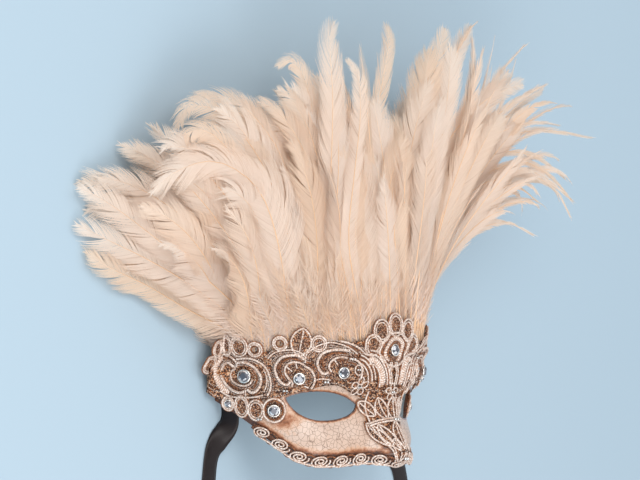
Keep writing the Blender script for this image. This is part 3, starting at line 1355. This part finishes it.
CROWN = {
    "back": {
        "count": 54, "reach": 88, "seat": 0.0, "spread": 0.0, "nodes": 12,
        "stations": [
            (-88.5, -226, 102, 2, 0.12, 210, 25),
            (-72, -232, 154, 6, 0.2, 180, 28),
            (-56, -178, 186, 14, 0.25, 155, 30),
            (-30, -95, 210, 30, 0.35, 120, 28),
            (-4, -2, 214, 46, 0.4, 96, 26),
            (8, 24, 188, 47, 0.4, 84, 24),
            (18, 58, 214, 48, 0.4, 70, 24),
            (32, 98, 230, 48, 0.4, 58, 25),
            (50, 140, 208, 34, 0.45, 25, 22),
            (70, 168, 168, 16, 0.5, -20, 17),
            (88.5, 156, 122, 3, 0.5, -50, 12),
        ],
    },
    "middle": {
        "count": 52, "reach": 81, "seat": 0.9, "spread": 0.14, "nodes": 11,
        "stations": [
            (-80, -222, 130, 30, 0.2, 195, 27),
            (-62, -166, 180, 42, 0.25, 165, 29),
            (-36, -84, 214, 56, 0.35, 130, 28),
            (-16, -49, 250, 70, 0.4, 104, 24),
            (-4, -32, 228, 76, 0.4, 95, 22),
            (6, -14, 198, 84, 0.4, 84, 22),
            (15, 34, 224, 86, 0.4, 68, 22),
            (26, 70, 254, 88, 0.4, 60, 24),
            (36, 106, 258, 88, 0.4, 50, 22),
            (46, 146, 234, 88, 0.42, 32, 19),
            (64, 202, 202, 86, 0.46, -5, 15),
            (80, 222, 142, 72, 0.5, -45, 12),
        ],
    },
    "front": {
        "count": 44, "reach": 74, "seat": 1.8, "spread": 0.2, "nodes": 10,
        "stations": [
            (-74, -178, 128, 46, 0.22, 180, 26),
            (-52, -118, 162, 58, 0.3, 148, 27),
            (-30, -62, 188, 74, 0.38, 115, 25),
            (-14, -46, 200, 82, 0.4, 100, 24),
            (-2, -27, 176, 92, 0.42, 84, 22),
            (10, 5, 184, 98, 0.42, 66, 22),
            (20, 39, 211, 98, 0.42, 60, 22),
            (30, 84, 212, 98, 0.42, 50, 22),
            (48, 136, 190, 96, 0.45, 18, 18),
            (72, 184, 146, 88, 0.5, -40, 13),
        ],
    },
}
TUCKED = 8


def root_of(angle, seat):
    """Where a quill is glued, the way it rises there, and the shell's own outward side."""
    y = upper_edge(angle) - TUCKED
    normal = face_normal(angle, y)
    up = unit(face_point(angle, y + 2) - face_point(angle, y))
    return face_point(angle, y) + normal * (GAP + seat + 0.4), up, normal


def station(row, angle):
    """The row's tip, rise, heading and width at an angle."""
    table = np.array(row["stations"])
    values = [float(through(table[:, [0, k]])(angle)) for k in range(1, table.shape[1])]
    return np.array(values[:3]), *values[3:]


def spine_of(row, angle, tip, rise, heading, t):
    root, up, normal = root_of(angle, row["seat"])
    length = np.linalg.norm(tip - root)
    start = root + (up + row["spread"] * normal) * rise * length
    turn = math.radians(heading)
    arrive = unit(np.array([math.cos(turn), math.sin(turn), -0.25]))
    return bezier(root, start, tip - 0.36 * length * arrive, tip, t)


# The kinds of feather. Lean is the slant of the barbs in degrees, at the quill and at the tip. A feather
# keeps its width to the share full of its length, then draws in, the more roundly the smaller blunt is.
# Ruffle waves its edges, split parts its barbs, cup hollows it and fray loosens its outer end
Kind = namedtuple("Kind", "lean full blunt ruffle split cup fray")
KINDS = {
    "ruffled": Kind((40, 21), 0.78, 0.55, 2.8, 0.4, 0.12, 0.5),
    "round": Kind((33, 18), 0.86, 0.45, 1.0, 0.25, 0.1, 0.12),
    "hackle": Kind((26, 9), 0.3, 1.0, 0.5, 0.6, 0.06, 0.2),
    "down": Kind((34, 14), 0.4, 0.9, 1.6, 2.2, 0.2, 0.0),
}
PLUME_MARKS = ("reach", "shade", "tint")
UNTWISTED = 1e6
GROUND_CLEARANCE = 0.25
COLLAR_COUNT, COLLAR_REACH = 150, 87
BARB_STEPS = np.array([0.0, 0.2, 0.45, 0.72, 1.0])
BARB_TAPER = np.array([1.0, 1.0, 0.95, 0.7, 0.1])


def plume(bundle, line, fan, half, kind, spacing, random, bare=0.05, curl=36):
    """One feather along a line of even steps: a tapered shaft and, on each side, a row of barbs.

    fan points across the crown at each step. Each barb is a narrow strip that leaves the shaft at a
    slant and bends towards the tip. Barbs cling in groups, and the groups part from each other."""
    plan = KINDS[kind]
    soft = kind == "down"
    even = np.linspace(0, 1, len(line))
    along = unit(np.gradient(line, axis=0))
    out = unit(np.cross(fan, along))
    twist = np.radians(random.uniform(-16, 16) + random.uniform(-curl, curl) * even**1.5)[:, None]
    out = out * np.cos(twist) + np.cross(along, out) * np.sin(twist)
    across = np.cross(along, out)
    length = length_of(line)
    tint = random.uniform(0, 0.8) ** 1.5
    columns = np.concatenate([line, along, out, across], 1)

    def at(t):
        inside = np.clip(t, 0, 1)
        values = np.stack([np.interp(inside, even, c) for c in columns.T], -1)
        centre, forward, face, sideways = np.split(values, 4, -1)
        return centre + forward * ((t - inside) * length)[..., None], forward, face, sideways

    ring = paced(np.column_stack([line, out, even]), length / (8 if soft else 20))
    radius = mix(0.55, 0.12, ring[:, 6] ** 0.7) * (0.6 if soft else 1.0)
    points, faces = swept(ring[:, :3] + 0.12 * ring[:, 3:6], ring[:, 3:6], radius, UNTWISTED)
    bundle.add(points, faces, 1, reach=np.repeat(ring[:, 6], 4))

    def outline(t):
        end = np.clip((t - plan.full) / (1 - plan.full), 0, 1)
        return half * (0.45 + 0.55 * smooth(t, 0.0, 0.26)) * (1 - end**2) ** plan.blunt

    sides = int((1 - bare) * length / spacing)
    wave, phase = random.uniform(1.4, 2.8), random.uniform(0, 6.3)
    for side in (-1, 1):
        base = np.linspace(bare, 0.985, sides) + random.uniform(-0.3, 0.3, sides) / sides
        fray = plan.fray * smooth(base, 0.4, 1.0)
        group = np.cumsum(random.random(sides) < (0.3 if soft else 0.06 + 0.12 * fray))

        def part(spread):
            return random.normal(0, spread, group[-1] + 1)[group]

        down = np.ones(sides) if soft else 1 - smooth(base, 0.06, 0.26)
        lean = mix(*plan.lean, base**1.2) + part(3.0 * plan.split) * (1 + 6 * fray)
        lean = np.radians(np.clip(lean + down * random.normal(0, 9, sides), 6, 70))
        grown = random.uniform(0.9, 1.08)
        wide = np.full(sides, 0.5 * half)
        for _ in range(12):
            wide = mix(wide, grown * outline(base + wide / np.tan(lean) / length), 0.5)
        uneven = (part(0.05) + random.normal(0, 0.04, sides)) * (1 + 2.6 * fray)
        wide = np.maximum(wide * (1 + uneven) + down * random.uniform(0, 5, sides), 0.8)
        lateral = wide[:, None] * (1 - (1 - BARB_STEPS) ** 1.25)
        forward = (wide / np.tan(lean))[:, None] * BARB_STEPS**1.12
        t = base[:, None] + forward / length
        centre, heading, face, sideways = at(t)
        share = lateral / half
        ruffle = plan.ruffle * np.sin(2 * math.pi * wave * t + phase + 0.6 * side) * share**2
        loose = (part(0.5) + random.normal(0, 0.14, sides)) * (1 + 1.6 * fray)
        loose = loose + down * random.normal(0, 1.6, sides)
        rise = ruffle - plan.cup * half * share**2 + loose[:, None] * BARB_STEPS**1.5
        place = centre + sideways * (side * lateral)[..., None] + face * rise[..., None]
        run = unit(np.gradient(place, axis=1))
        aside = unit(np.cross(face, run))
        slant = np.linalg.norm(np.cross(run, heading), axis=-1)
        width = 1.08 * spacing * slant * BARB_TAPER * (1 - 0.5 * down[:, None]) + 0.05
        tilt = random.uniform(0.04, 0.2, sides)[:, None, None]
        edge = (aside + face * tilt) * (0.5 * width)[..., None]
        strip = np.stack([place - edge, place + edge], 2)
        cell = grid_faces(len(BARB_STEPS), 2)[:, [0, 3, 2, 1]]
        faces = (np.arange(sides)[:, None, None] * 2 * len(BARB_STEPS) + cell).reshape(-1, 4)
        shade = np.clip(random.normal(0.66, 0.16, sides) + part(0.06), 0, 1).repeat(2 * len(BARB_STEPS))
        reach = np.clip(np.repeat(t.ravel(), 2), 0, 1)
        bundle.add(strip.reshape(-1, 3), faces, 0, reach=reach, shade=shade, tint=tint)


def feather_kind(angle, random):
    roll = random.random()
    if angle < -20:
        return "ruffled" if roll < 0.8 else "round"
    if angle < 30:
        return "round" if roll < 0.75 else "ruffled"
    return "hackle" if angle > 56 or roll < 0.45 else "round"


def planted(bundle, name, finishes, *nodes):
    """A bundle of feathers as one piece. Nothing of a feather goes below the ground."""
    for points in bundle.points:
        points[:, 2] = np.maximum(points[:, 2], GROUND_CLEARANCE)
    mounted(bundle.piece("plumes_" + name, finishes), "feather", *nodes)


# Single feathers that stand out of the rows: their root's angle, the points that they pass, in the camera's
# own across and up with a height z, half their width and their kind
ACROSS_X, ACROSS_Z = 0.616, 0.788
SINGLES = [
    (-41, [(-1, 107, 60), (-19, 161, 57), (-47, 198, 44), (-71, 203, 34), (-79, 186, 28)], 10, "ruffled"),
    (-46, [(-8, 108, 60), (-30, 154, 57), (-56, 186, 49), (-72, 184, 43), (-76, 165, 38)], 9, "ruffled"),
    (-36, [(6, 120, 64), (-8, 170, 58), (-34, 204, 49), (-58, 212, 33), (-70, 206, 29)], 8, "ruffled"),
    (-50, [(-20, 104, 54), (-48, 146, 46), (-74, 174, 40), (-90, 185, 24), (-97, 192, 16)], 10, "ruffled"),
    (-56, [(-34, 100, 44), (-62, 140, 38), (-88, 164, 27), (-108, 174, 12), (-118, 178, 6)], 11, "ruffled"),
    (-60, [(-42, 95, 36), (-76, 130, 28), (-104, 148, 18), (-122, 154, 11), (-132, 154, 8)], 12, "ruffled"),
    (-65, [(-58, 86, 27), (-92, 114, 26), (-118, 134, 16), (-136, 145, 9), (-145, 148, 6)], 12, "ruffled"),
    (-70, [(-66, 80, 21), (-98, 100, 18), (-122, 112, 11), (-138, 120, 6), (-146, 124, 4)], 12, "ruffled"),
    (-78, [(-72, 66, 12), (-98, 82, 10), (-118, 92, 8), (-132, 100, 6), (-139, 106, 5)], 11, "ruffled"),
    (-52, [(-10, 110, 64), (-24, 148, 62), (-52, 166, 52), (-80, 158, 43), (-96, 143, 37)], 13, "ruffled"),
    (-28, [(24, 112, 74), (16, 150, 72), (2, 184, 64), (-14, 203, 56), (-25, 207, 54)], 10, "ruffled"),
    (-24, [(28, 112, 78), (20, 156, 72), (9, 192, 65), (-3, 211, 59), (-12, 216, 54)], 9, "ruffled"),
    (-26, [(26, 112, 70), (18, 146, 68), (6, 174, 63), (-10, 190, 54), (-22, 193, 53)], 10, "ruffled"),
    (-22, [(30, 120, 80), (31, 165, 80), (30, 196, 81), (28, 211, 76)], 9, "round"),
    (6, [(62, 120, 92), (66, 150, 96), (72, 172, 98), (78, 184, 97)], 11, "round"),
    (14, [(72, 120, 90), (80, 170, 94), (88, 205, 96), (95, 224, 94)], 10, "round"),
    (34, [(86, 120, 90), (104, 176, 94), (128, 206, 96), (150, 219, 94), (162, 223, 90)], 10, "round"),
    (-30, [(20, 120, 70), (16, 180, 66), (8, 222, 62), (-2, 236, 57), (-12, 230, 50)], 8, "ruffled"),
    (-32, [(24, 115, 74), (26, 165, 78), (27, 210, 82), (25, 250, 80), (28, 264, 74)], 11, "round"),
    (-12, [(48, 120, 76), (54, 180, 80), (62, 226, 82), (66, 250, 80), (64, 264, 74)], 7.5, "round"),
    (-18, [(38, 110, 84), (42, 160, 88), (46, 200, 90), (44, 226, 86), (36, 238, 80)], 6, "ruffled"),
    (20, [(80, 120, 84), (86, 180, 88), (98, 232, 90), (106, 262, 84)], 8, "round"),
    (26, [(88, 122, 84), (98, 184, 88), (112, 236, 90), (124, 264, 82)], 8, "round"),
    (44, [(92, 110, 84), (114, 180, 88), (140, 224, 90), (163, 251, 84)], 5, "hackle"),
    (48, [(94, 110, 84), (120, 176, 88), (152, 208, 90), (180, 224, 84)], 5.5, "hackle"),
    (54, [(94, 110, 80), (128, 170, 84), (166, 190, 84), (214, 186, 76)], 4.5, "hackle"),
    (60, [(94, 112, 76), (124, 152, 80), (160, 168, 82), (182, 158, 78), (199, 140, 72)], 4.5, "hackle"),
    (66, [(95, 112, 70), (122, 146, 76), (156, 160, 80), (184, 150, 76), (198, 128, 70)], 4.5, "hackle"),
    (57, [(94, 112, 78), (118, 158, 82), (144, 174, 84), (170, 172, 80), (194, 156, 74)], 5, "hackle"),
    (63, [(94, 110, 74), (118, 142, 80), (146, 158, 84), (172, 160, 80), (196, 143, 72)], 5, "hackle"),
    (51, [(94, 112, 82), (116, 164, 86), (144, 188, 88), (172, 196, 84), (190, 194, 78)], 5, "hackle"),
    (70, [(93, 100, 60), (106, 126, 66), (134, 149, 72), (158, 150, 72), (173, 140, 68)], 4, "hackle"),
    (76, [(93, 96, 50), (110, 121, 60), (130, 127, 66), (152, 125, 68), (170, 116, 66)], 2.6, "hackle"),
]


def single_line(angle, passes, count=56):
    """The line of a single feather, from its quill through the points that it passes."""
    root, up, normal = root_of(angle, 2.0)
    points = [root, root + 14 * up + 2 * normal]
    points += [((q - ACROSS_Z * z) / ACROSS_X, y, z) for q, y, z in passes]
    points = np.array(points)
    travelled = travelled_along(points)
    line = eased(points, travelled, np.linspace(0, travelled[-1], count))
    return paced(line, length_of(line) / count)


class MASK_OT_plumes(bpy.types.Operator):
    """Make the crown: three rows of single feathers, some that stand out, and a collar of down"""

    bl_idname = "half_mask.plumes"
    bl_label = "Feathers"

    def execute(self, context):
        settings = context.scene.half_mask.plumes
        spacing = settings.spacing / MM
        finishes = [vane(settings), shaft(settings)]
        for number, (name, row) in enumerate(CROWN.items()):
            nodes = [f"feather_{name}_{i:02d}" for i in range(1, row["nodes"] + 1)]
            planted(self.row_of(row, spacing, settings.seed + number), name, finishes, *nodes)
        random = np.random.default_rng(settings.seed + 3)
        singles = Bundle(*PLUME_MARKS)
        for angle, passes, half, kind in SINGLES:
            line = single_line(angle, passes)
            fan = unit(np.cross(np.gradient(line, axis=0), np.array([-0.55, 0.0, 0.83])))
            plume(singles, line, fan, half, kind, spacing, random, curl=14)
        planted(singles, "single", finishes)
        planted(self.collar(0.8 * spacing, random), "collar", finishes)
        return {"FINISHED"}

    def row_of(self, row, spacing, seed):
        """A row of feathers, closest together in its middle. Some are cut shorter than the rest."""
        random = np.random.default_rng(seed)
        bundle = Bundle(*PLUME_MARKS)
        for k in range(row["count"]):
            place = np.interp(k / (row["count"] - 1), [0, 0.42, 1], [-1, 0, 1])
            angle = row["reach"] * place + random.uniform(-1.5, 1.5)
            share = random.choice([1.0, 0.96, 0.88, 0.76], p=[0.36, 0.26, 0.22, 0.16])
            root = root_of(angle, row["seat"])[0]
            full, rise, heading, width = station(row, angle)
            tip = mix(root, full, share) + random.normal(0, [6, 5, 3])
            heading += random.normal(0, 14)
            line, before, after = (
                spine_of(row, a, tip + (station(row, a)[0] - full), rise, heading, np.linspace(0, 1, 48))
                for a in (angle, angle - 2, angle + 2)
            )
            half = 0.5 * width * random.uniform(0.8, 1.2)
            plume(bundle, line, after - before, half, feather_kind(angle, random), spacing, random)
        return bundle

    def collar(self, spacing, random):
        """Down that covers the quills where they leave the lace."""
        bundle = Bundle(*PLUME_MARKS)
        for k in range(COLLAR_COUNT):
            angle = mix(-COLLAR_REACH, COLLAR_REACH, k / (COLLAR_COUNT - 1)) + random.uniform(-1.5, 1.5)
            root, up, normal = root_of(angle, random.uniform(1.4, 4.2))
            lean = mix(-0.55, 0.1, (angle + 86) / 170) * math.cos(math.radians(angle) * 0.4)
            length = random.uniform(28, 62) * (1.3 if angle < -70 else 1)
            tip = root + length * unit(up + 0.1 * normal + np.array([lean, 0, 0]) + random.normal(0, 0.06, 3))
            line = bezier(root, root + 0.4 * length * up, mix(root, tip, 0.75), tip, np.linspace(0, 1, 16))
            fan = np.cross(np.gradient(line, axis=0), normal)
            plume(bundle, line, fan, random.uniform(4, 7.5), "down", spacing, random, 0.0)
        return bundle


# The ribbons, along the same routes as their solids: x, y and z of their middle line, and their tilt

TEMPLE_END = [(83.9, 30, 10.5, 97), (83.9, 17, 10.5, 97), (82.8, 6, 9, 92), (80.6, -8, 8, 92)]
RIBBON_ROUTES = {
    "right": [(x, y, z, tilt - 180) for x, y, z, tilt in TEMPLE_END]
    + [(83.5, -16, 7.2, -60), (88, -25, 3.6, -24), (92, -36, 0.8, 0), (96, -64, 0.6, 0)],
    "left": TEMPLE_END
    + [(84, -16, 6.8, 60), (92, -25, 2.8, 15), (105, -34, 0.6, 0), (118, -46, 0.6, 0), (124, -64, 0.6, 0)],
}
FOLD_LAYERS = 6
FOLD_STEP = 0.78
FOLD_STATIONS = 24
RIBBON_STATIONS = 80
RIBBON_CLEARANCE = 0.3
SATIN_THICKNESS = 0.25
WIDTH_SHARES = np.linspace(-1, 1, 7)


def folds(x, y, run, height):
    """The spare length laid to and fro from a place, in layers as long as the run."""
    s = np.linspace(0, 1, FOLD_STATIONS)
    swing = np.sin(math.pi * s)
    ends = (y, y - run)
    layers = []
    for k in range(FOLD_LAYERS):
        layer_y = mix(ends[k % 2], ends[1 - k % 2], s) - 1.5
        step = k + smooth(s, 0.86, 1.0) * (k + 1 < FOLD_LAYERS)
        shift = 0.5 * math.sin(2.1 * k) * swing
        layers.append(np.stack([x + shift, layer_y, height + FOLD_STEP * step + 0.25 * swing], -1))
    return np.vstack(layers)


def strap(line, level, tilt, half):
    """Rows of points across a strap whose width lies along level and is turned up by the tilt."""
    turn = np.radians(tilt)[:, None]
    across = np.column_stack([level * np.cos(turn), np.sin(turn)])
    out = np.column_stack([-level * np.sin(turn), np.cos(turn)])
    crown = 0.35 * (1 - WIDTH_SHARES**2)
    rows = line[:, None] + across[:, None] * (WIDTH_SHARES * half)[None, :, None]
    return rows + out[:, None] * crown[None, :, None]


class MASK_OT_ribbons(bpy.types.Operator):
    """Make the two satin ribbons, with their spare length laid up in folds"""

    bl_idname = "half_mask.ribbons"
    bl_label = "Satin ribbons"

    def execute(self, context):
        settings = context.scene.half_mask.ribbons
        finish = satin(settings)
        half = 0.5 * settings.width / MM
        for side, word in SIDES:
            route = np.array(RIBBON_ROUTES[word], float)
            x, y, z, tilt = eased_by_number(route, RIBBON_STATIONS).T
            line = np.stack([x, y, np.maximum(z, 0.5)], -1)
            run = (settings.length / MM - length_of(line)) / FOLD_LAYERS
            spare = folds(route[-1, 0], route[-1, 1], run, line[-1, 2])
            level = np.vstack([sideways(line[:, :2]), np.tile([1.0, 0.0], (len(spare), 1))])
            line = np.vstack([line, spare])
            rows = strap(line, level, np.r_[tilt, np.zeros(len(spare))], half)
            rows[..., 0] *= side
            rows[..., 2] = np.maximum(rows[..., 2], RIBBON_CLEARANCE)
            bundle = Bundle()
            faces = grid_faces(len(line), len(WIDTH_SHARES))
            bundle.add(rows, faces if side > 0 else faces[:, ::-1])
            piece = bundle.piece("satin_ribbon_" + word, [finish])
            layer = piece.data.uv_layers.new(name="Weave")
            u = np.tile(WIDTH_SHARES * 0.5 + 0.5, len(line)) * settings.width
            v = np.repeat(travelled_along(line) * MM, len(WIDTH_SHARES))
            corners = np.zeros(len(piece.data.loops), np.int32)
            piece.data.loops.foreach_get("vertex_index", corners)
            layer.data.foreach_set("uv", np.stack([u[corners], v[corners]], -1).astype(np.float32).ravel())
            applied(piece, "SOLIDIFY", thickness=SATIN_THICKNESS * MM, offset=1.0)
            mounted(piece, "satin", "ribbon_" + word)
        return {"FINISHED"}


# Floor, camera and lights

CROWN_MIDDLE = (-0.0164, 0.041, 0.040)
BACK = (-0.788, 0.0, 0.616)
# Each light's name, place, target, width in m, watts and colour
LIGHTS = [
    ("key", (-0.9, 0.7, 1.3), (0, 0.03, 0.04), 1.1, 11.6, (1.0, 0.97, 0.93)),
    ("fill", (-0.6, -0.9, 0.9), (0, -0.02, 0.04), 1.0, 8.6, (1.0, 0.97, 0.95)),
    ("top", (0.7, 0.5, 1.2), (0.02, 0.05, 0.04), 0.9, 2.6, (1.0, 0.98, 0.96)),
]


def soft_light(name, place, target, size, watts, tint):
    lamp = bpy.data.lights.new(name, "AREA")
    lamp.shape = "DISK"
    lamp.size, lamp.energy, lamp.color = size, watts, tint
    light = bpy.data.objects.new(name, lamp)
    bpy.context.scene.collection.objects.link(light)
    light.location = place
    light.rotation_euler = (Vector(target) - Vector(place)).to_track_quat("-Z", "Y").to_euler()


class MASK_OT_stage(bpy.types.Operator):
    """Lay the pale floor, set the camera at the picture's angle and hang the soft lights"""

    bl_idname = "half_mask.stage"
    bl_label = "Stage"

    def execute(self, context):
        settings = context.scene.half_mask.stage
        bpy.ops.mesh.primitive_plane_add(size=8, location=(0, 0, -0.0002))
        floor = context.object
        floor.name = floor.data.name = "floor"
        bpy.ops.object.transform_apply(location=True, rotation=True, scale=True)
        floor.data.materials.append(paper_floor(settings))
        back, up = Vector(BACK).normalized(), Vector((0, 1, 0))
        lens = bpy.data.cameras.new("camera")
        lens.sensor_width = 36
        lens.lens = lens.sensor_width * settings.distance / settings.view_width
        lens.clip_start, lens.clip_end = 0.05, 20
        camera = bpy.data.objects.new("camera", lens)
        context.scene.collection.objects.link(camera)
        turned = Matrix((up.cross(back), up, back)).transposed()
        place = Vector(CROWN_MIDDLE) + back * settings.distance
        camera.matrix_world = Matrix.Translation(place) @ turned.to_4x4()
        context.scene.camera = camera
        world = bpy.data.worlds.new("soft_sky")
        world.use_nodes = True
        sky = world.node_tree.nodes["Background"]
        sky.inputs["Color"].default_value = (0.93, 0.965, 1.0, 1.0)
        sky.inputs["Strength"].default_value = 0.82
        context.scene.world = world
        context.scene.view_settings.view_transform = "Standard"
        for light in LIGHTS:
            soft_light(*light)
        return {"FINISHED"}


class MASK_PT_panel(bpy.types.Panel):
    """The half mask's pieces and their settings"""

    bl_idname = "MASK_PT_panel"
    bl_label = "Half Mask"
    bl_space_type = "VIEW_3D"
    bl_region_type = "UI"
    bl_category = "Half Mask"

    def draw(self, context):
        for operator, group in PIECES:
            box = self.layout.box()
            box.operator(operator.bl_idname)
            settings = getattr(context.scene.half_mask, group)
            for name in settings.__annotations__:
                box.prop(settings, name)


PIECES = [
    (MASK_OT_stage, "stage"),
    (MASK_OT_shell, "shell"),
    (MASK_OT_lace, "lace"),
    (MASK_OT_stones, "stones"),
    (MASK_OT_braid, "lace"),
    (MASK_OT_ribbons, "ribbons"),
    (MASK_OT_plumes, "plumes"),
]
GROUPS = [
    ShellSettings, LaceSettings, StoneSettings, PlumeSettings, RibbonSettings, StageSettings, MaskSettings,
]
CLASSES = GROUPS + [operator for operator, group in PIECES] + [MASK_PT_panel]


def register():
    for one in CLASSES:
        bpy.utils.register_class(one)
    bpy.types.Scene.half_mask = PointerProperty(type=MaskSettings)


def unregister():
    del bpy.types.Scene.half_mask
    for one in reversed(CLASSES):
        bpy.utils.unregister_class(one)


def main():
    register()
    bpy.ops.object.select_all(action="DESELECT")
    bpy.ops.half_mask.stage()
    bpy.ops.half_mask.shell()
    bpy.ops.half_mask.lace()
    bpy.ops.half_mask.stones()
    bpy.ops.half_mask.braid()
    bpy.ops.half_mask.ribbons()
    bpy.ops.half_mask.plumes()
    bpy.context.view_layer.update()


if __name__ == "__main__":
    main()
